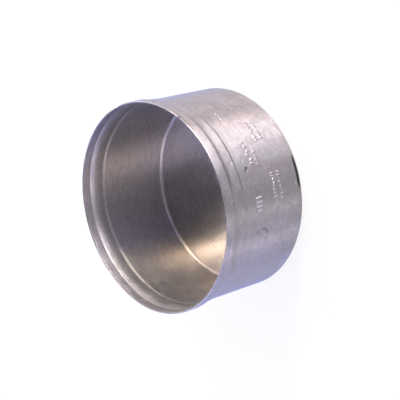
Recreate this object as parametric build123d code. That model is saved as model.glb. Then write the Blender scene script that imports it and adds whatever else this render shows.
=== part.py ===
from build123d import *
import os

# End cap for round duct: one cup drawn from a single sheet, with its mouth opened out in two small steps.
# It stands on its closed end. Z runs up the axis and out of the mouth, from the outside of the closed end.
# All sizes are in millimetres.

# The duct that the cap closes
duct_diameter = 101.6
slip_clearance = 0.4

# The sheet and the cup
sheet = 0.8
depth = 55
corner_radius = 2
edge_rounding = 0.25

# The mouth, from its edge down: a lip, a soft shoulder, a collar and a crisp small step to the wall
lip_length = 4.8
shoulder_length = 2.9
shoulder_rise = 0.6
collar_length = 4.8
step_length = 1.5
step_rise = 0.45

# Bends of the inside line: crisp where the lip and the step start, long where the shoulder fades out
crisp_bend = 1.6
soft_bend = 20

# Inside radii, each opened out from the one below
wall_radius = duct_diameter / 2 + slip_clearance
collar_radius = wall_radius + step_rise
lip_radius = collar_radius + shoulder_rise

# Heights of the bends above the closed end
lip_foot = depth - lip_length
collar_top = lip_foot - shoulder_length
collar_foot = collar_top - collar_length
wall_top = collar_foot - step_length


def sheet_section():
    """Half of the cup's section: its inside line, thickened outwards by the sheet."""
    inside_line = FilletPolyline(
        (0, sheet),
        (wall_radius, sheet),
        (wall_radius, wall_top),
        (collar_radius, collar_foot),
        (collar_radius, collar_top),
        (lip_radius, lip_foot),
        (lip_radius, depth),
        radius=[corner_radius, crisp_bend, crisp_bend, soft_bend, crisp_bend],
    )
    return make_face(offset(inside_line, sheet, side=Side.RIGHT))


def end_cap():
    """The section turned about the axis, with both edges of the cut mouth taken off."""
    cup = revolve(Plane.XZ * sheet_section(), Axis.Z)
    mouth_edges = cup.edges().group_by(Axis.Z)[-1]
    return fillet(mouth_edges, min(edge_rounding, sheet / 3))


os.makedirs("parts", exist_ok=True)
export_step(end_cap(), "parts/end_cap.step")
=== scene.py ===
import math

import bpy
import numpy as np
from mathutils import Matrix, Vector


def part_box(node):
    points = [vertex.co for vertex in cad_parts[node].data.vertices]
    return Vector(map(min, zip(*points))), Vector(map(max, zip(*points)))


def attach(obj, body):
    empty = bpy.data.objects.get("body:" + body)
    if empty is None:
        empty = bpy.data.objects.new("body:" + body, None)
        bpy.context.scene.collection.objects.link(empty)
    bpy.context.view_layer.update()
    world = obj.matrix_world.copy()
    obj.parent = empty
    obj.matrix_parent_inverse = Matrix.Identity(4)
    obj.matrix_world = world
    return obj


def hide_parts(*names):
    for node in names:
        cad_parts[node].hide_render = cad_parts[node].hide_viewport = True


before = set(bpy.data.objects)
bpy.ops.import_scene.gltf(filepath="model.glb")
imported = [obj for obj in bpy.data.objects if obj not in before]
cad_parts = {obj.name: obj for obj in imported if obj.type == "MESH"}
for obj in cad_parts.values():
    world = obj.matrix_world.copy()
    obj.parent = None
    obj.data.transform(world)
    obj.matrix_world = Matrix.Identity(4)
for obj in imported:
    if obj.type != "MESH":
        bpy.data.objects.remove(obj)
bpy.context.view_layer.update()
scene = bpy.context.scene


# The drawn cup: the whole cap, pressed from one disc of thin aluminium sheet over a round former.
# Its closed end is flat, and its mouth is opened out in a soft shoulder and a crisp small step, so
# that it starts over the duct's edge. Nothing is fixed to it.
MM = 0.001
cap_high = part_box("end_cap")[1]
depth = cap_high.z
lip_outside = cap_high.x
sheet = 0.8 * MM
corner_bend = 2 * MM
edge_rounding = 0.25 * MM
lip_length = 4.8 * MM
shoulder_length = 2.9 * MM
shoulder_rise = 0.6 * MM
collar_length = 4.8 * MM
step_length = 1.5 * MM
step_rise = 0.45 * MM
crisp_bend = 1.6 * MM
soft_bend = 20 * MM

lip_radius = lip_outside - sheet
collar_radius = lip_radius - shoulder_rise
wall_radius = collar_radius - step_rise
lip_foot = depth - lip_length
collar_top = lip_foot - shoulder_length
collar_foot = collar_top - collar_length
wall_top = collar_foot - step_length

# The part of the outside wall that takes the rows of bars, and the turns that cross it
marked_top = 37 * MM
marked_foot = 4 * MM
marked_from = -78
marked_to = 10
close_turn = 0.34
wide_turn = 2.5

# The finish that each face of the mesh takes
inside_face, edge_face, outside_face, mouth_face = range(4)


def straight(line, start, end, spacing):
    """Adds the points of one straight run, its start left out."""
    count = max(1, math.ceil(np.linalg.norm(end - start) / spacing))
    for k in range(1, count + 1):
        line.append(start + (end - start) * k / count)


def bent_line(corners, bends, spacings, turn_step=math.radians(6)):
    """Points along straight runs, each with its own spacing, joined by arcs.

    A bend of 0 only ends a run.
    """
    points = [np.array(p, float) for p in corners]
    line, start = [points[0]], points[0]
    for i, radius in enumerate(bends, 1):
        if radius == 0:
            straight(line, start, points[i], spacings[i - 1])
            start = points[i]
            continue
        before = (points[i] - points[i - 1]) / np.linalg.norm(points[i] - points[i - 1])
        after = (points[i + 1] - points[i]) / np.linalg.norm(points[i + 1] - points[i])
        turn = math.acos(before.dot(after))
        setback = radius * math.tan(turn / 2)
        arc_start = points[i] - before * setback
        straight(line, start, arc_start, spacings[i - 1])
        inward = (after - before) / np.linalg.norm(after - before)
        centre = points[i] + inward * radius / math.cos(turn / 2)
        spoke = arc_start - centre
        quarter = before * radius
        count = max(3, math.ceil(turn / turn_step))
        for k in range(1, count + 1):
            angle = turn * k / count
            line.append(centre + spoke * math.cos(angle) + quarter * math.sin(angle))
        start = line[-1]
    straight(line, start, points[-1], spacings[-1])
    return line


def offset_corners(corners, distance):
    """The corners of a line that runs beside this one, that far to its right."""
    points = [np.array(p, float) for p in corners]
    runs = [(b - a) / np.linalg.norm(b - a) for a, b in zip(points, points[1:])]
    sides = [np.array((run[1], -run[0])) for run in runs]
    moved = [points[0] + sides[0] * distance]
    for corner, before, after in zip(points[1:], sides, sides[1:]):
        middle = (before + after) / np.linalg.norm(before + after)
        moved.append(corner + middle * distance / middle.dot(before))
    moved.append(points[-1] + sides[-1] * distance)
    return moved


def sheet_lines():
    """Radius and height of each ring, as three lines: the inside, the mouth's cut edge and the outside."""
    corners = [
        (0, sheet),
        (wall_radius, sheet),
        (wall_radius, wall_top),
        (collar_radius, collar_foot),
        (collar_radius, collar_top),
        (lip_radius, lip_foot),
        (lip_radius, depth - edge_rounding),
    ]
    bends = [corner_bend, crisp_bend, crisp_bend, soft_bend, crisp_bend]
    spacings = [3 * MM, 2.5 * MM, MM, MM, MM, MM]
    inside = bent_line(corners, bends, spacings)

    # The outside has two more rows of points, at the top and the foot of the marked part of the wall
    corners = offset_corners(corners, sheet)
    corners[2:2] = [(corners[1][0], marked_foot), (corners[1][0], marked_top)]
    bends = [
        corner_bend + sheet,
        0,
        0,
        crisp_bend - sheet,
        crisp_bend + sheet,
        soft_bend - sheet,
        crisp_bend + sheet,
    ]
    spacings = [6 * MM, 2 * MM, 0.33 * MM, 2 * MM, MM, 0.5 * MM, 0.5 * MM, 0.5 * MM]
    outside = bent_line(corners, bends, spacings)

    rounding_steps = 4
    steps = [math.radians(90 * k / rounding_steps) for k in range(1, rounding_steps + 1)]
    rounding = [(edge_rounding * (1 - math.cos(a)), edge_rounding * (math.sin(a) - 1)) for a in steps]
    edge = [np.array((lip_radius + across, depth + up)) for across, up in rounding]
    edge += [np.array((lip_outside - across, depth + up)) for across, up in reversed(rounding)]
    return inside, edge, outside[::-1]


def turns():
    """Angles round the axis, in degrees, closer together over the marked part."""
    close_count = round((marked_to - marked_from) / close_turn)
    wide_count = round((360 - marked_to + marked_from) / wide_turn)
    close = np.linspace(marked_from, marked_to, close_count, endpoint=False)
    wide = np.linspace(marked_to, marked_from + 360, wide_count, endpoint=False)
    return np.concatenate((close, wide))


def turned_blank(name, lines):
    """The lines turned about the axis into one closed mesh, from the inside's middle to the outside's.

    Each point keeps how far along the sheet it is, and whether it is on the outside.
    Each face keeps its finish. The mouth's finish starts inside, above the small step.
    """
    rows = np.array([point for line in lines for point in line])
    angles = np.radians(turns())
    count, across = len(angles), len(rows) - 2
    rings = rows[1:-1]
    x = rings[:, :1] * np.cos(angles)
    y = rings[:, :1] * np.sin(angles)
    z = np.repeat(rings[:, 1:], count, axis=1)
    body = np.stack((x, y, z), axis=-1).reshape(-1, 3)
    middles = np.array([(0, 0, rows[0][1]), (0, 0, rows[-1][1])])
    first_middle, last_middle = across * count, across * count + 1
    last_ring = (across - 1) * count

    here = np.arange(count)
    there = (here + 1) % count
    faces = []
    for ring in range(across - 1):
        a, b = ring * count, (ring + 1) * count
        faces.append(np.stack((a + here, b + here, b + there, a + there), axis=1))
    quads = np.concatenate(faces).tolist()
    first_fan = [(first_middle, int(h), int(t)) for h, t in zip(here, there)]
    last_fan = [(last_middle, int(last_ring + t), int(last_ring + h)) for h, t in zip(here, there)]

    mesh = bpy.data.meshes.new(name)
    mesh.from_pydata(np.concatenate((body, middles)).tolist(), [], quads + first_fan + last_fan)
    steps = np.linalg.norm(np.diff(rows, axis=0), axis=1)
    run = np.concatenate(([0], np.cumsum(steps)))
    run_values = np.concatenate((np.repeat(run[1:-1], count), (run[0], run[-1])))
    along_sheet = mesh.attributes.new("run", "FLOAT", "POINT")
    along_sheet.data.foreach_set("value", run_values.astype(np.float32))

    edge_start = len(lines[0])
    outside_start = edge_start + len(lines[1])
    # The edge's outer rounding is burnished from handling and shines like the outside
    burnished_start = edge_start + len(lines[1]) // 2
    outer = np.arange(1, len(rows) - 1) >= outside_start
    outer_values = np.concatenate((np.repeat(outer, count), (0, 0)))
    outer_side = mesh.attributes.new("outer", "FLOAT", "POINT")
    outer_side.data.foreach_set("value", outer_values.astype(np.float32))
    between = np.arange(1, len(rows) - 2)
    finish = np.where(between < burnished_start, edge_face, outside_face)
    finish[between < edge_start - 1] = inside_face
    finish[(finish == inside_face) & (rows[between, 1] > collar_foot)] = mouth_face
    fans = np.repeat((inside_face, outside_face), count)
    finish_values = np.concatenate((np.repeat(finish, count), fans))
    face_finish = mesh.attributes.new("finish", "INT", "FACE")
    face_finish.data.foreach_set("value", finish_values.astype(np.int32))
    mesh.shade_smooth()
    return mesh


cup = bpy.data.objects.new("drawn_cup", turned_blank("drawn_cup", sheet_lines()))
scene.collection.objects.link(cup)


# The sheet's finishes: bare satin aluminium. The drawing left fine lines and streaks round the axis,
# strongest inside. Handling left the outside duller, mottled and scuffed, and the cut edge is dull too.
def add(tree, kind, links=None, **settings):
    """A new node of one kind with its settings, and its inputs either linked or set."""
    node = tree.nodes.new(kind)
    for name, value in settings.items():
        setattr(node, name, value)
    for socket, value in (links or {}).items():
        if isinstance(value, bpy.types.NodeSocket):
            tree.links.new(value, node.inputs[socket])
        else:
            node.inputs[socket].default_value = value
    return node


def calc(tree, operation, *values):
    """The result of one sum over sockets and plain numbers."""
    return add(tree, "ShaderNodeMath", dict(enumerate(values)), operation=operation).outputs[0]


def eased(tree, value, start, end):
    """0 at the start and 1 at the end of a range, with a soft change between them."""
    levels = {"Value": value, "From Min": start, "From Max": end}
    return add(tree, "ShaderNodeMapRange", levels, interpolation_type="SMOOTHSTEP").outputs["Result"]


def new_group(name, kind, inputs, outputs):
    """An empty node group with its two ends. Inputs are (name, socket, value), outputs (name, socket)."""
    group = bpy.data.node_groups.new(name, kind)
    for label, socket, value in inputs:
        made = group.interface.new_socket(label, in_out="INPUT", socket_type="NodeSocket" + socket)
        if value is not None:
            made.default_value = value
    for label, socket in outputs:
        group.interface.new_socket(label, in_out="OUTPUT", socket_type="NodeSocket" + socket)
    return group, group.nodes.new("NodeGroupInput").outputs, group.nodes.new("NodeGroupOutput").inputs


def draw_lines_group():
    """Fine lines round the axis: each is long, follows the sheet's section and differs from the next."""
    inputs = [("Line Width", "Float", 0.4 * MM), ("Line Length", "Float", 40 * MM)]
    group, given, result = new_group("draw_lines", "ShaderNodeTree", inputs, [("Height", "Float")])
    place = add(group, "ShaderNodeTexCoord").outputs["Object"]
    parts = add(group, "ShaderNodeSeparateXYZ", {0: place}).outputs
    run = add(group, "ShaderNodeAttribute", attribute_name="run").outputs["Fac"]
    along_x = calc(group, "DIVIDE", parts["X"], given["Line Length"])
    along_y = calc(group, "DIVIDE", parts["Y"], given["Line Length"])
    across = calc(group, "DIVIDE", run, given["Line Width"])
    spot = add(group, "ShaderNodeCombineXYZ", {0: along_x, 1: along_y, 2: across}).outputs[0]
    grain = add(group, "ShaderNodeTexNoise", {"Vector": spot, "Scale": 1, "Detail": 2, "Roughness": 0.6})
    group.links.new(grain.outputs["Fac"], result["Height"])
    return group


def mottling_group():
    """Soft uneven patches, a little longer round the axis than along it."""
    inputs = [("Patch Size", "Float", 6 * MM)]
    group, given, result = new_group("mottling", "ShaderNodeTree", inputs, [("Patches", "Float")])
    place = add(group, "ShaderNodeTexCoord").outputs["Object"]
    flattened = {0: place, 1: (1, 1, 1.6)}
    stretched = add(group, "ShaderNodeVectorMath", flattened, operation="MULTIPLY").outputs[0]
    scale = calc(group, "DIVIDE", 1, given["Patch Size"])
    cloudy = {"Vector": stretched, "Scale": scale, "Detail": 4, "Roughness": 0.6}
    noise = add(group, "ShaderNodeTexNoise", cloudy).outputs["Fac"]
    levels = {"Value": noise, "From Min": 0.3, "From Max": 0.7}
    patches = add(group, "ShaderNodeMapRange", levels).outputs["Result"]
    group.links.new(patches, result["Patches"])
    return group


def scuffs_group():
    """Sparse short scratches, each a thin line where a stretched grain peaks."""
    inputs = [
        ("Scratch Width", "Float", 0.25 * MM),
        ("Scratch Length", "Float", 7 * MM),
        ("Cover", "Float", 0.3),
    ]
    group, given, result = new_group("scuffs", "ShaderNodeTree", inputs, [("Scratches", "Float")])
    place = add(group, "ShaderNodeTexCoord").outputs["Object"]
    slanted = {"Vector": place, "Rotation": (0.5, 0.35, 0.2)}
    turned = add(group, "ShaderNodeVectorRotate", slanted, rotation_type="EULER_XYZ").outputs[0]
    parts = add(group, "ShaderNodeSeparateXYZ", {0: turned}).outputs
    width = calc(group, "DIVIDE", parts["Z"], given["Scratch Width"])
    length_x = calc(group, "DIVIDE", parts["X"], given["Scratch Length"])
    length_y = calc(group, "DIVIDE", parts["Y"], given["Scratch Length"])
    spot = add(group, "ShaderNodeCombineXYZ", {0: length_x, 1: length_y, 2: width}).outputs[0]
    noise = add(group, "ShaderNodeTexNoise", {"Vector": spot, "Scale": 1, "Detail": 1}).outputs["Fac"]
    # Only the noise's peaks are scratches, from 0.85 up with no cover to 0.45 up with full cover
    lowest = calc(group, "SUBTRACT", 0.85, calc(group, "MULTIPLY", given["Cover"], 0.4))
    levels = {"Value": noise, "From Min": lowest, "From Max": calc(group, "ADD", lowest, 0.05)}
    scratches = add(group, "ShaderNodeMapRange", levels).outputs["Result"]
    group.links.new(scratches, result["Scratches"])
    return group


def knock_and_shade_mark_group():
    """One darkened patch on a short stretch of the wall, uneven at its ends: used for knocks, which are wear,
    and for painted shade.
    """
    inputs = [
        ("Turn", "Float", 0.0),
        ("Spread", "Float", 10.0),
        ("Height", "Float", 2 * MM),
        ("Reach", "Float", MM),
    ]
    group, given, result = new_group("knock_and_shade_mark", "ShaderNodeTree", inputs, [("Mark", "Float")])
    place = add(group, "ShaderNodeTexCoord").outputs["Object"]
    flat = add(group, "ShaderNodeVectorMath", {0: place, 1: (1, 1, 0)}, operation="MULTIPLY").outputs[0]
    outward = add(group, "ShaderNodeVectorMath", {0: flat}, operation="NORMALIZE").outputs[0]
    turn = calc(group, "RADIANS", given["Turn"])
    across = {0: calc(group, "COSINE", turn), 1: calc(group, "SINE", turn)}
    middle = add(group, "ShaderNodeCombineXYZ", across).outputs[0]
    pair = {0: outward, 1: middle}
    facing = add(group, "ShaderNodeVectorMath", pair, operation="DOT_PRODUCT").outputs["Value"]
    limit = calc(group, "COSINE", calc(group, "RADIANS", given["Spread"]))
    round_the_wall = eased(group, facing, limit, 1)
    height = add(group, "ShaderNodeSeparateXYZ", {0: place}).outputs["Z"]
    away = calc(group, "ABSOLUTE", calc(group, "SUBTRACT", height, given["Height"]))
    up_the_wall = eased(group, away, given["Reach"], 0)
    even = calc(group, "MULTIPLY", round_the_wall, up_the_wall)
    speckled = {"Vector": place, "Scale": 1 / (2 * MM), "Detail": 2}
    noise = add(group, "ShaderNodeTexNoise", speckled).outputs["Fac"]
    mark = calc(group, "MULTIPLY", even, calc(group, "ADD", noise, 1.2))
    group.links.new(add(group, "ShaderNodeClamp", {0: mark}).outputs[0], result["Mark"])
    return group


draw_lines = draw_lines_group()
mottling = mottling_group()
scuffs = scuffs_group()
knock_and_shade_mark = knock_and_shade_mark_group()

# Under this roughness a noisy render of the fine lines is left with dark dashes
least_roughness = 0.28


def satin(
    name,
    colour,
    roughness,
    anisotropy,
    lines,
    streaks,
    grain,
    streak_tone,
    patch_tone,
    fleck_tone,
    scratch_cover=0,
    marks=(),
    painted_edge_reflection=None,
):
    """Bare metal whose lines run round the axis, so that its reflections are drawn out along it.

    The edge-on colour is a painted reflection: the metal's colour is turned to it where it is seen almost
    edge on.
    Limb is the colour that the metal turns to where it is seen almost edge on.
    """
    line_tone = 0.25
    line_roughness = 0.1
    patch_roughness = 0.08
    limb_start, limb_end = 0.74, 0.94
    material = bpy.data.materials.new(name)
    material.use_nodes = True
    tree = material.node_tree
    shader = tree.nodes["Principled BSDF"]
    shader.inputs["Metallic"].default_value = 1
    shader.inputs["Anisotropic"].default_value = anisotropy
    shader.inputs["Anisotropic Rotation"].default_value = 0.25
    tangent = add(tree, "ShaderNodeTangent", direction_type="RADIAL", axis="Z")
    tree.links.new(tangent.outputs["Tangent"], shader.inputs["Tangent"])

    def drawn(width, length):
        """Lines of one width and length in millimetres."""
        node = add(tree, "ShaderNodeGroup", node_tree=draw_lines)
        node.inputs["Line Width"].default_value = width * MM
        node.inputs["Line Length"].default_value = length * MM
        return node.outputs[0]

    fine = drawn(0.35, 35)
    broad = drawn(1.4, 60)
    streaky = drawn(1.3, 8)
    flecks = drawn(0.8, 2.2)
    patches = add(tree, "ShaderNodeGroup", node_tree=mottling).outputs[0]
    grainy = add(tree, "ShaderNodeGroup", node_tree=mottling)
    grainy.inputs["Patch Size"].default_value = 0.8 * MM
    scratches = add(tree, "ShaderNodeGroup", node_tree=scuffs)
    scratches.inputs["Cover"].default_value = scratch_cover

    height = calc(tree, "MULTIPLY", broad, 2 * lines)
    height = calc(tree, "MULTIPLY_ADD", fine, lines, height)
    height = calc(tree, "MULTIPLY_ADD", streaky, streaks, height)
    height = calc(tree, "MULTIPLY_ADD", grainy.outputs[0], grain, height)
    height = calc(tree, "MULTIPLY_ADD", scratches.outputs[0], -lines, height)
    bump = add(tree, "ShaderNodeBump", {"Height": height, "Strength": 1, "Distance": MM})
    tree.links.new(bump.outputs["Normal"], shader.inputs["Normal"])

    uneven = calc(tree, "SUBTRACT", patches, 0.5)
    lined = calc(tree, "SUBTRACT", fine, 0.5)
    streaked = calc(tree, "SUBTRACT", streaky, 0.5)
    flecked = calc(tree, "SUBTRACT", flecks, 0.5)
    tone = calc(tree, "MULTIPLY_ADD", uneven, patch_tone, 1)
    tone = calc(tree, "MULTIPLY_ADD", lined, line_tone, tone)
    tone = calc(tree, "MULTIPLY_ADD", streaked, 2 * streak_tone, tone)
    tone = calc(tree, "MULTIPLY_ADD", flecked, 2 * fleck_tone, tone)
    # Each mark darkens the colour: the knocks are wear, the rest are painted shade
    for turn, spread, mark_height, reach, darkness in marks:
        darkening = add(tree, "ShaderNodeGroup", node_tree=knock_and_shade_mark)
        darkening.inputs["Turn"].default_value = turn
        darkening.inputs["Spread"].default_value = spread
        darkening.inputs["Height"].default_value = mark_height * MM
        darkening.inputs["Reach"].default_value = reach * MM
        tone = calc(tree, "MULTIPLY", tone, calc(tree, "MULTIPLY_ADD", darkening.outputs[0], -darkness, 1))
    # Painted reflection: where the metal is seen almost edge on, its colour is turned towards the given
    # edge-on colour
    if painted_edge_reflection:
        facing = add(tree, "ShaderNodeLayerWeight", {"Blend": 0.5}).outputs["Facing"]
        edge_on = eased(tree, facing, limb_start, limb_end)
        # Of a Mix node's sockets, 4, 5 and output 1 are the ones for vectors
        colour = add(tree, "ShaderNodeMix", {0: edge_on, 4: colour, 5: painted_edge_reflection}, data_type="VECTOR").outputs[1]
    metal = add(tree, "ShaderNodeVectorMath", {0: colour, "Scale": tone}, operation="SCALE").outputs[0]
    tree.links.new(metal, shader.inputs["Base Color"])
    rough = calc(tree, "MULTIPLY_ADD", uneven, patch_roughness, roughness)
    rough = calc(tree, "MULTIPLY_ADD", lined, line_roughness, rough)
    tree.links.new(calc(tree, "MAXIMUM", rough, least_roughness), shader.inputs["Roughness"])
    return material


knocks_and_painted_shade = [
    # turn and spread in degrees, height and reach in millimetres, darkness
    # First one long stretch of painted shade on the closed end's bend, then the knocks on the wall, the lip
    # and the mouth's edge
    (-47.0, 11.0, 2.6, 1.6, 0.85),
    (-38.6, 1.0, 35.0, 1.3, 0.6),
    (-39.8, 0.9, 36.2, 1.0, 0.5),
    (-74.6, 1.6, 26.6, 0.7, 0.55),
    (-73.0, 0.8, 28.6, 1.6, 0.5),
    (-74.0, 0.9, 33.0, 0.9, 0.4),
    (-54.6, 0.8, 49.6, 0.8, 0.4),
    (-0.2, 1.2, 54.6, 1.2, 0.7),
    # Painted shade: darker bands along the shoulder and the small step, where they reflect less of the low
    # lamps
    (-26.0, 27.0, 48.8, 1.8, 0.38),
    (-26.0, 27.0, 41.6, 1.0, 0.32),
]
inside_finish = satin(
    name="satin_inside",
    colour=(0.465, 0.453, 0.446),
    roughness=0.36,
    anisotropy=0.75,
    lines=0.024,
    streaks=0.07,
    grain=0.004,
    streak_tone=0.2,
    patch_tone=0.08,
    fleck_tone=0.35,
)
mouth_finish = satin(
    name="satin_mouth",
    colour=(0.41, 0.4, 0.405),
    roughness=0.44,
    anisotropy=0.4,
    lines=0.02,
    streaks=0.03,
    grain=0.004,
    streak_tone=0.2,
    patch_tone=0.08,
    fleck_tone=0.3,
)
outside_finish = satin(
    name="satin_outside",
    colour=(0.285, 0.27, 0.283),
    roughness=0.355,
    anisotropy=0.92,
    lines=0.007,
    streaks=0.012,
    grain=0.012,
    streak_tone=0.0,
    patch_tone=0.15,
    fleck_tone=0.35,
    scratch_cover=0.22,
    marks=knocks_and_painted_shade,
    # a painted blue reflection, where the outside is seen edge on
    painted_edge_reflection=(0.19, 0.205, 0.36),
)
edge_finish = satin(
    name="cut_edge",
    colour=(0.16, 0.157, 0.157),
    roughness=0.45,
    anisotropy=0,
    lines=0.004,
    streaks=0,
    grain=0.01,
    streak_tone=0.0,
    patch_tone=0.1,
    fleck_tone=0,
)


# The work on the cup: its wall is slightly wavy from the drawing, rows of plain short bars stand a
# little proud on its outside, and knocks have left small dents, nicks and a burr.
def worked_cup_tree():
    """Waves over the whole sheet, the lip's lean and the mouth's bulge, then the four finishes."""
    inputs = [
        ("Geometry", "Geometry", None),
        ("Wave Height", "Float", 0.1 * MM),
        ("Wave Length", "Float", 30 * MM),
        ("Ripple Height", "Float", 0.012 * MM),
        ("Ripple Length", "Float", 8 * MM),
        ("Lip Swell", "Float", 0.2 * MM),
        ("Bulge Turn", "Float", 217.0),
        ("Bulge Spread", "Float", 48.0),
        ("Bulge Height", "Float", 0.75 * MM),
        ("Bulge Reach", "Float", 14 * MM),
        ("Inside", "Material", None),
        ("Cut Edge", "Material", None),
        ("Outside", "Material", None),
        ("Mouth", "Material", None),
    ]
    group, given, result = new_group("worked_cup", "GeometryNodeTree", inputs, [("Geometry", "Geometry")])
    place = add(group, "GeometryNodeInputPosition").outputs[0]
    flat = add(group, "ShaderNodeVectorMath", {0: place, 1: (1, 1, 0)}, operation="MULTIPLY").outputs[0]
    outward = add(group, "ShaderNodeVectorMath", {0: flat}, operation="NORMALIZE").outputs[0]
    lengthened = {0: place, 1: (1, 1, 0.7)}
    longer = add(group, "ShaderNodeVectorMath", lengthened, operation="MULTIPLY").outputs[0]
    moved = 0
    for height, length in (("Wave Height", "Wave Length"), ("Ripple Height", "Ripple Length")):
        scale = calc(group, "DIVIDE", 1, given[length])
        smooth = {"Vector": longer, "Scale": scale, "Detail": 0}
        noise = add(group, "ShaderNodeTexNoise", smooth).outputs["Fac"]
        swing = calc(group, "MULTIPLY", calc(group, "SUBTRACT", noise, 0.5), 2)
        moved = calc(group, "MULTIPLY_ADD", swing, given[height], moved)
    # The waves die out towards the axis, where the closed end stays flat
    reach = add(group, "ShaderNodeVectorMath", {0: flat}, operation="LENGTH").outputs["Value"]
    levels = {"Value": reach, "From Min": wall_radius * 0.9, "From Max": wall_radius}
    share = add(group, "ShaderNodeMapRange", levels).outputs["Result"]
    moved = calc(group, "MULTIPLY", moved, share)
    # The lip leans back in towards its edge, so that the sheet stands out most at the lip's foot
    height = add(group, "ShaderNodeSeparateXYZ", {0: place}).outputs["Z"]
    levels = {"Value": height, "From Min": depth, "From Max": lip_foot}
    down_the_lip = add(group, "ShaderNodeMapRange", levels).outputs["Result"]
    levels = {"Value": height, "From Min": collar_top, "From Max": lip_foot}
    up_the_shoulder = add(group, "ShaderNodeMapRange", levels).outputs["Result"]
    swell = calc(group, "MULTIPLY", calc(group, "MINIMUM", down_the_lip, up_the_shoulder), given["Lip Swell"])
    moved = calc(group, "ADD", moved, swell)
    # The mouth has been knocked a little out of round on one side, which dies out down the wall
    bulge_turn = calc(group, "RADIANS", given["Bulge Turn"])
    across = {0: calc(group, "COSINE", bulge_turn), 1: calc(group, "SINE", bulge_turn)}
    middle = add(group, "ShaderNodeCombineXYZ", across).outputs[0]
    pair = {0: outward, 1: middle}
    facing = add(group, "ShaderNodeVectorMath", pair, operation="DOT_PRODUCT").outputs["Value"]
    limit = calc(group, "COSINE", calc(group, "RADIANS", given["Bulge Spread"]))
    round_the_mouth = eased(group, facing, limit, 1)
    down_the_wall = eased(group, height, calc(group, "SUBTRACT", depth, given["Bulge Reach"]), depth)
    bulge_share = calc(group, "MULTIPLY", round_the_mouth, down_the_wall)
    moved = calc(group, "ADD", moved, calc(group, "MULTIPLY", bulge_share, given["Bulge Height"]))
    offset = add(group, "ShaderNodeVectorMath", {0: outward, "Scale": moved}, operation="SCALE").outputs[0]
    shifted = {"Geometry": given["Geometry"], "Offset": offset}
    shape = add(group, "GeometryNodeSetPosition", shifted).outputs[0]
    shape = add(group, "GeometryNodeRealizeInstances", {"Geometry": shape}).outputs[0]
    named = {"Name": "finish"}
    finish = add(group, "GeometryNodeInputNamedAttribute", named, data_type="INT").outputs[0]
    faces = {"Inside": inside_face, "Cut Edge": edge_face, "Outside": outside_face, "Mouth": mouth_face}
    for label, face in faces.items():
        same = {2: finish, 3: face}
        chosen = add(group, "FunctionNodeCompare", same, data_type="INT", operation="EQUAL").outputs[0]
        painted = {"Geometry": shape, "Selection": chosen, "Material": given[label]}
        shape = add(group, "GeometryNodeSetMaterial", painted).outputs[0]
    group.links.new(shape, result["Geometry"])
    return group


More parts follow.
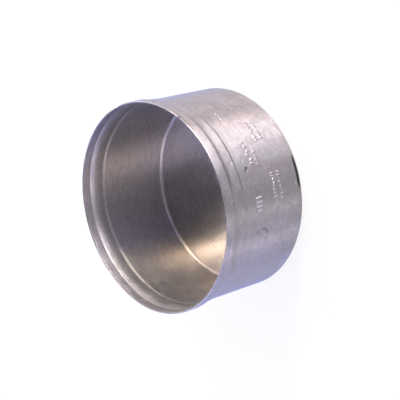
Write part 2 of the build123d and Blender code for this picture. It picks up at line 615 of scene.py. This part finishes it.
def pressed_row_tree():
    """One row of short bars round the wall, each raised by Rise. A negative Rise dents it."""
    inputs = [
        ("Geometry", "Geometry", None),
        ("First Turn", "Float", 0.0),
        ("Pitch", "Float", 2.0),
        ("Count", "Int", 1),
        ("Height", "Float", 30 * MM),
        ("Radius", "Float", wall_radius + sheet),
        ("Length", "Float", 2 * MM),
        ("Lean", "Float", 0.0),
        ("Play", "Float", 0.0),
        ("Width", "Float", 0.7 * MM),
        ("Rise", "Float", 0.2 * MM),
        ("Seed", "Int", 0),
    ]
    group, given, result = new_group("pressed_row", "GeometryNodeTree", inputs, [("Geometry", "Geometry")])
    index = add(group, "GeometryNodeInputIndex").outputs[0]

    def loose(low, high, number):
        """A random number of its own for each bar, from low to high times Play."""
        seed = calc(group, "ADD", given["Seed"], number)
        value = add(group, "FunctionNodeRandomValue", data_type="FLOAT")
        for label, amount in (("Min", low), ("Max", high)):
            next(s for s in value.inputs if s.name == label and s.type == "VALUE").default_value = amount
        group.links.new(seed, value.inputs["Seed"])
        picked = next(s for s in value.outputs if s.type == "VALUE")
        return calc(group, "MULTIPLY", picked, given["Play"])

    degrees = calc(group, "MULTIPLY_ADD", index, given["Pitch"], given["First Turn"])
    degrees = calc(group, "ADD", degrees, loose(-0.5, 0.5, 1))
    turn = calc(group, "RADIANS", degrees)
    lean = calc(group, "RADIANS", calc(group, "ADD", given["Lean"], loose(-30, 30, 2)))
    height = calc(group, "ADD", given["Height"], loose(-0.4 * MM, 0.4 * MM, 3))
    x = calc(group, "MULTIPLY", calc(group, "COSINE", turn), given["Radius"])
    y = calc(group, "MULTIPLY", calc(group, "SINE", turn), given["Radius"])
    spot = add(group, "ShaderNodeCombineXYZ", {0: x, 1: y, 2: height}).outputs[0]
    spots = add(group, "GeometryNodePoints", {"Count": given["Count"], "Position": spot}).outputs[0]

    half = calc(group, "DIVIDE", given["Length"], 2)
    foot = add(group, "ShaderNodeCombineXYZ", {2: calc(group, "MULTIPLY", half, -1)}).outputs[0]
    head = add(group, "ShaderNodeCombineXYZ", {2: half}).outputs[0]
    ends = {"Count": 2, "Start Location": foot, "Offset": head}
    bar = add(group, "GeometryNodeMeshLine", ends, mode="END_POINTS").outputs[0]
    angles = add(group, "ShaderNodeCombineXYZ", {0: lean, 2: turn}).outputs[0]
    rotation = add(group, "FunctionNodeEulerToRotation", {0: angles}).outputs[0]
    placed = {"Points": spots, "Instance": bar, "Rotation": rotation}
    bars = add(group, "GeometryNodeInstanceOnPoints", placed).outputs[0]
    bars = add(group, "GeometryNodeRealizeInstances", {"Geometry": bars}).outputs[0]

    # A bar is at its full rise over the middle 0.15 of its width, and eases down to the wall from there
    away = add(group, "GeometryNodeProximity", {0: bars}, target_element="EDGES").outputs["Distance"]
    inner = calc(group, "MULTIPLY", given["Width"], 0.15)
    levels = {"Value": away, "From Min": inner, "From Max": given["Width"], "To Min": 1.0, "To Max": 0.0}
    nearness = add(group, "ShaderNodeMapRange", levels, interpolation_type="SMOOTHSTEP").outputs["Result"]
    named = {"Name": "outer"}
    outer = add(group, "GeometryNodeInputNamedAttribute", named, data_type="FLOAT").outputs[0]
    amount = calc(group, "MULTIPLY", calc(group, "MULTIPLY", nearness, outer), given["Rise"])
    place = add(group, "GeometryNodeInputPosition").outputs[0]
    flat = add(group, "ShaderNodeVectorMath", {0: place, 1: (1, 1, 0)}, operation="MULTIPLY").outputs[0]
    outward = add(group, "ShaderNodeVectorMath", {0: flat}, operation="NORMALIZE").outputs[0]
    offset = add(group, "ShaderNodeVectorMath", {0: outward, "Scale": amount}, operation="SCALE").outputs[0]
    shifted = {"Geometry": given["Geometry"], "Offset": offset}
    shape = add(group, "GeometryNodeSetPosition", shifted).outputs[0]
    group.links.new(shape, result["Geometry"])
    return group


def give_tree(piece, name, tree, values):
    """Puts a tree on a piece as a modifier and sets its inputs."""
    modifier = piece.modifiers.new(name, "NODES")
    modifier.node_group = tree
    identifiers = {s.name: s.identifier for s in tree.interface.items_tree if s.in_out == "INPUT"}
    for label, value in values.items():
        modifier[identifiers[label]] = value
    return modifier


pressed_row = pressed_row_tree()
on_wall, on_collar, on_lip = wall_radius + sheet, collar_radius + sheet, lip_radius + sheet
rows_of_bars = [
    # name, radius, first turn, pitch, count, height, length, lean, play, width, rise
    # Turns, pitch and lean are in degrees, and the lengths in millimetres
    ("top_bars", on_wall, -8.5, 2.2, 4, 31.6, 0.9, 60, 1.0, 0.6, 0.26),
    ("low_bars", on_wall, -1.0, 3.0, 3, 20.0, 1.0, 80, 1.0, 0.6, 0.15),
    ("left_ticks_upper", on_wall, -25.0, 1.7, 7, 20.5, 1.2, 10, 0.7, 0.7, 0.24),
    ("left_ticks_lower", on_wall, -24.0, 1.7, 6, 16.8, 1.0, -10, 0.7, 0.7, 0.24),
    ("middle_ticks_upper", on_wall, -37.0, 2.4, 6, 30.5, 1.2, 20, 1.0, 0.7, 0.17),
    ("middle_ticks_lower", on_wall, -38.5, 2.6, 5, 26.0, 1.2, -30, 1.0, 0.7, 0.17),
    ("right_ticks_upper", on_wall, -57.0, 1.8, 8, 20.0, 1.1, 15, 0.8, 0.75, 0.34),
    ("right_ticks_lower", on_wall, -57.5, 1.8, 8, 15.8, 1.1, -15, 0.8, 0.75, 0.34),
    ("end_bars", on_wall, -62.5, 2.3, 4, 31.7, 3.2, 4, 0.2, 0.8, 0.48),
    ("slash", on_wall, -39.3, 1.0, 1, 35.6, 2.4, 40, 0.0, 0.8, -0.06),
    ("knock", on_wall, -73.5, 1.9, 2, 28.5, 3.6, 75, 0.5, 0.9, -0.05),
    ("collar_nick", on_collar, -33.6, 1.0, 1, 43.6, 0.6, 0, 0.0, 0.9, -0.16),
    ("lip_nick", on_lip, -53.9, 1.3, 2, 50.4, 0.5, 30, 1.0, 0.7, 0.18),
    ("corner_nick", on_wall, -53.1, 1.0, 1, 4.9, 0.6, 0, 0.0, 0.9, -0.16),
    ("mouth_nick", on_lip, -0.5, 1.0, 1, 55.0, 1.2, 0, 0.0, 1.0, -0.25),
]
for number, row in enumerate(rows_of_bars):
    name, radius, first, pitch, count, height, length, lean, play, width, rise = row
    values = {
        "First Turn": float(first),
        "Pitch": float(pitch),
        "Count": count,
        "Height": height * MM,
        "Radius": radius,
        "Length": length * MM,
        "Lean": float(lean),
        "Play": float(play),
        "Width": width * MM,
        "Rise": rise * MM,
        "Seed": number * 10,
    }
    give_tree(cup, name, pressed_row, values)
finishes = {
    "Inside": inside_finish,
    "Cut Edge": edge_finish,
    "Outside": outside_finish,
    "Mouth": mouth_finish,
}
give_tree(cup, "worked_cup", worked_cup_tree(), finishes)

seen_cup = cup.evaluated_get(bpy.context.evaluated_depsgraph_get())
worked_mesh = bpy.data.meshes.new_from_object(seen_cup)
worked_mesh.name = "drawn_cup"
cup.modifiers.clear()
cup.data = worked_mesh
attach(cup, "root")
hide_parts("end_cap")


# The floor: a plain pale table top that the cap stands on, so wide that its edge is never seen. The
# camera and the metal see it nearly white, and it still takes the cap's shadow.
floor_mesh = bpy.data.meshes.new("floor")
reach = 20
floor_corners = [(-reach, -reach, 0), (reach, -reach, 0), (reach, reach, 0), (-reach, reach, 0)]
floor_mesh.from_pydata(floor_corners, [], [(0, 1, 2, 3)])
floor = bpy.data.objects.new("floor", floor_mesh)
scene.collection.objects.link(floor)
pale = bpy.data.materials.new("pale_floor")
pale.use_nodes = True
tree = pale.node_tree
lit = tree.nodes["Principled BSDF"]
lit.inputs["Base Color"].default_value = (0.8, 0.8, 0.8, 1)
lit.inputs["Roughness"].default_value = 0.9
lit.inputs["Specular IOR Level"].default_value = 0
white = add(tree, "ShaderNodeEmission", {"Color": (1, 1, 1, 1), "Strength": 1}).outputs[0]
white_share = 0.85
ray = add(tree, "ShaderNodeLightPath").outputs
seen = calc(tree, "MAXIMUM", ray["Is Camera Ray"], ray["Is Glossy Ray"])
seen = calc(tree, "MAXIMUM", seen, ray["Is Transmission Ray"])
share = calc(tree, "MULTIPLY", seen, white_share)
both = add(tree, "ShaderNodeMixShader", {0: share, 1: lit.outputs[0], 2: white}).outputs[0]
tree.links.new(both, tree.nodes["Material Output"].inputs["Surface"])
floor_mesh.materials.append(pale)


# The light: distant soft lamps. A low ring draws the stripes on the outside, lip and collar lamps reach in
# over the mouth, and the rest light the inside. Behind them are pale walls, and a darker room above.
def soft_lamp(name, azimuth, elevation, spread, strength, colour):
    """A distant round soft lamp."""
    light = bpy.data.lights.new(name, "SUN")
    light.angle = math.radians(spread)
    light.energy = strength
    light.color = colour
    lamp = bpy.data.objects.new(name, light)
    scene.collection.objects.link(lamp)
    a, e = math.radians(azimuth), math.radians(elevation)
    towards = Vector((math.cos(a) * math.cos(e), math.sin(a) * math.cos(e), math.sin(e)))
    lamp.rotation_mode = "QUATERNION"
    lamp.rotation_quaternion = towards.to_track_quat("Z", "Y")
    return lamp


# A solver first set 31 of these 47 lamps, by matching the cap's brightness to the photograph's. Of those,
# 22 keep its colour and none its strength. The other 16 were added.
lamps = [
    # name, azimuth, elevation, spread, strength, colour
    ("low_325", 325, 3.5, 7, 0.16, (1.00, 0.69, 0.87)),
    ("low_335", 335, 4.0, 7, 0.60, (0.90, 0.96, 1.00)),
    ("low_345", 345, 3.5, 7, 0.90, (1.00, 0.84, 0.93)),
    ("low_355", 355, 1.8, 5, 1.50, (1.00, 0.90, 0.91)),
    ("low_005", 5, 1.6, 5, 1.45, (1.00, 0.93, 0.96)),
    ("low_015", 15, 2, 6, 0.61, (1.00, 0.85, 0.99)),
    ("low_025", 25, 2.2, 6, 0.17, (1.00, 0.67, 0.91)),
    ("low_042", 42, 1.4, 6, 0.38, (1.00, 0.70, 0.76)),
    ("low_060", 60, 1.4, 6, 0.42, (0.67, 0.57, 1.00)),
    ("low_080", 80, 1.4, 6, 0.26, (0.72, 0.70, 1.00)),
    ("low_100", 100, 1.4, 6, 0.86, (1.00, 1.00, 0.84)),
    ("low_125", 125, 5, 12, 0.10, (0.46, 0.68, 1.00)),
    ("low_165", 165, 2, 12, 0.24, (0.22, 0.25, 1.00)),
    ("low_190", 190, 2, 12, 0.30, (0.20, 0.22, 1.00)),
    ("low_210", 210, 2, 9, 0.46, (0.12, 0.14, 1.00)),
    ("low_225", 225, 2, 9, 0.52, (0.16, 0.18, 1.00)),
    ("low_240", 240, 2, 9, 0.46, (0.22, 0.25, 1.00)),
    ("low_255", 255, 2, 9, 0.36, (0.40, 0.42, 1.00)),
    ("low_270", 270, 2, 9, 0.26, (0.50, 0.50, 1.00)),
    ("low_315", 315, 2, 7, 0.18, (1.00, 0.88, 0.95)),
    ("lip_215", 215, 4.2, 5, 0.13, (1.00, 0.92, 0.92)),
    ("lip_250", 250, 4.2, 5, 0.33, (1.00, 0.92, 0.92)),
    ("lip_283", 283, 4.2, 5, 0.30, (0.96, 0.92, 0.94)),
    ("collar_012", 12, 6.5, 6, 0.34, (1.00, 0.92, 0.84)),
    ("collar_040", 40, 6.5, 6, 0.30, (0.96, 0.88, 0.84)),
    ("collar_070", 70, 6.5, 6, 0.19, (1.00, 0.88, 0.84)),
    ("collar_255", 255, 5.4, 4, 0.17, (1.00, 0.90, 0.88)),
    ("collar_285", 285, 5.4, 4, 0.17, (1.00, 0.90, 0.88)),
    ("collar_312", 312, 5.4, 4, 0.05, (1.00, 0.90, 0.88)),
    ("collar_338", 338, 5.4, 4, 0.24, (1.00, 0.90, 0.88)),
    ("middle_000", 0, 14, 18, 0.57, (1.00, 0.94, 0.75)),
    ("middle_090", 90, 14, 18, 0.19, (0.56, 1.00, 0.19)),
    ("middle_120", 120, 14, 18, 0.17, (0.81, 1.00, 0.88)),
    ("middle_150", 150, 14, 18, 0.21, (1.00, 0.96, 0.84)),
    ("middle_230", 230, 14, 18, 0.17, (0.66, 0.84, 0.76)),
    ("key_020", 20, 28, 12, 2.06, (1.00, 0.83, 0.70)),
    ("upper_key_020", 20, 40, 12, 0.62, (1.00, 0.71, 0.45)),
    ("upper_key_034", 34, 40, 12, 0.42, (1.00, 0.80, 0.60)),
    ("key_048", 48, 28, 12, 0.96, (0.88, 0.88, 0.88)),
    ("high_065", 65, 34, 34, 0.99, (1.00, 0.81, 0.78)),
    ("high_095", 95, 34, 34, 1.08, (0.81, 0.83, 1.00)),
    ("high_125", 125, 34, 34, 0.79, (0.71, 0.71, 1.00)),
    ("high_155", 155, 34, 34, 1.24, (0.80, 0.74, 1.00)),
    ("high_190", 190, 34, 34, 1.24, (0.32, 0.42, 1.00)),
    ("high_225", 225, 34, 34, 0.32, (0.63, 0.63, 1.00)),
    ("high_255", 255, 34, 34, 0.57, (0.76, 0.70, 0.98)),
    ("top_225", 225, 62, 50, 0.17, (0.84, 0.70, 1.00)),
]
for lamp in lamps:
    soft_lamp(*lamp)

# The walls end at one angle above the table, and the darker room starts at the other. The camera sees
# them white, which leaves the light on the cap as it is.
walls_end = 7
room_starts = 14
room_paleness = 0.16
wall_colour = (1.0, 0.95, 1.12)
world = bpy.data.worlds.new("studio")
world.use_nodes = True
tree = world.node_tree
direction = add(tree, "ShaderNodeTexCoord").outputs["Generated"]
upward = add(tree, "ShaderNodeSeparateXYZ", {0: direction}).outputs["Z"]
levels = {
    "Value": upward,
    "From Min": math.sin(math.radians(walls_end)),
    "From Max": math.sin(math.radians(room_starts)),
    "To Min": 1.0,
    "To Max": room_paleness,
}
paleness = add(tree, "ShaderNodeMapRange", levels, interpolation_type="SMOOTHSTEP").outputs["Result"]
shade = add(tree, "ShaderNodeVectorMath", {0: wall_colour, "Scale": paleness}, operation="SCALE").outputs[0]
direct = add(tree, "ShaderNodeLightPath").outputs["Is Camera Ray"]
shade = add(tree, "ShaderNodeVectorMath", {0: shade, 1: direct}, operation="MAXIMUM").outputs[0]
tree.links.new(shade, tree.nodes["Background"].inputs["Color"])
scene.world = world


# The camera: it looks down into the mouth, rolled so that the cap lies on its side in the picture. Its
# place was fitted to the cap's outline in the photograph. At azimuth 0 it would look along +Y, and a
# larger azimuth takes it round towards +X.
camera_azimuth = 44.69
camera_elevation = 41.95
camera_roll = -105.36
camera_distance = 0.653
camera_aim = Vector((0.00233, -0.00609, 0.0275))
sensor_width = 36
focal_pixels = 1300
frame_pixels = 400
camera_data = bpy.data.cameras.new("camera")
camera_data.sensor_width = sensor_width
camera_data.lens = sensor_width * focal_pixels / frame_pixels
camera_data.clip_start = 0.01
camera_data.clip_end = 100
camera = bpy.data.objects.new("camera", camera_data)
scene.collection.objects.link(camera)
a, e = math.radians(camera_azimuth), math.radians(camera_elevation)
back = Vector((math.sin(a) * math.cos(e), -math.cos(a) * math.cos(e), math.sin(e)))
level = (-back).to_track_quat("-Z", "Y").to_matrix()
rolled = level @ Matrix.Rotation(math.radians(camera_roll), 3, "Z")
camera.matrix_world = Matrix.Translation(camera_aim + back * camera_distance) @ rolled.to_4x4()
scene.camera = camera

scene.view_settings.view_transform = "Standard"
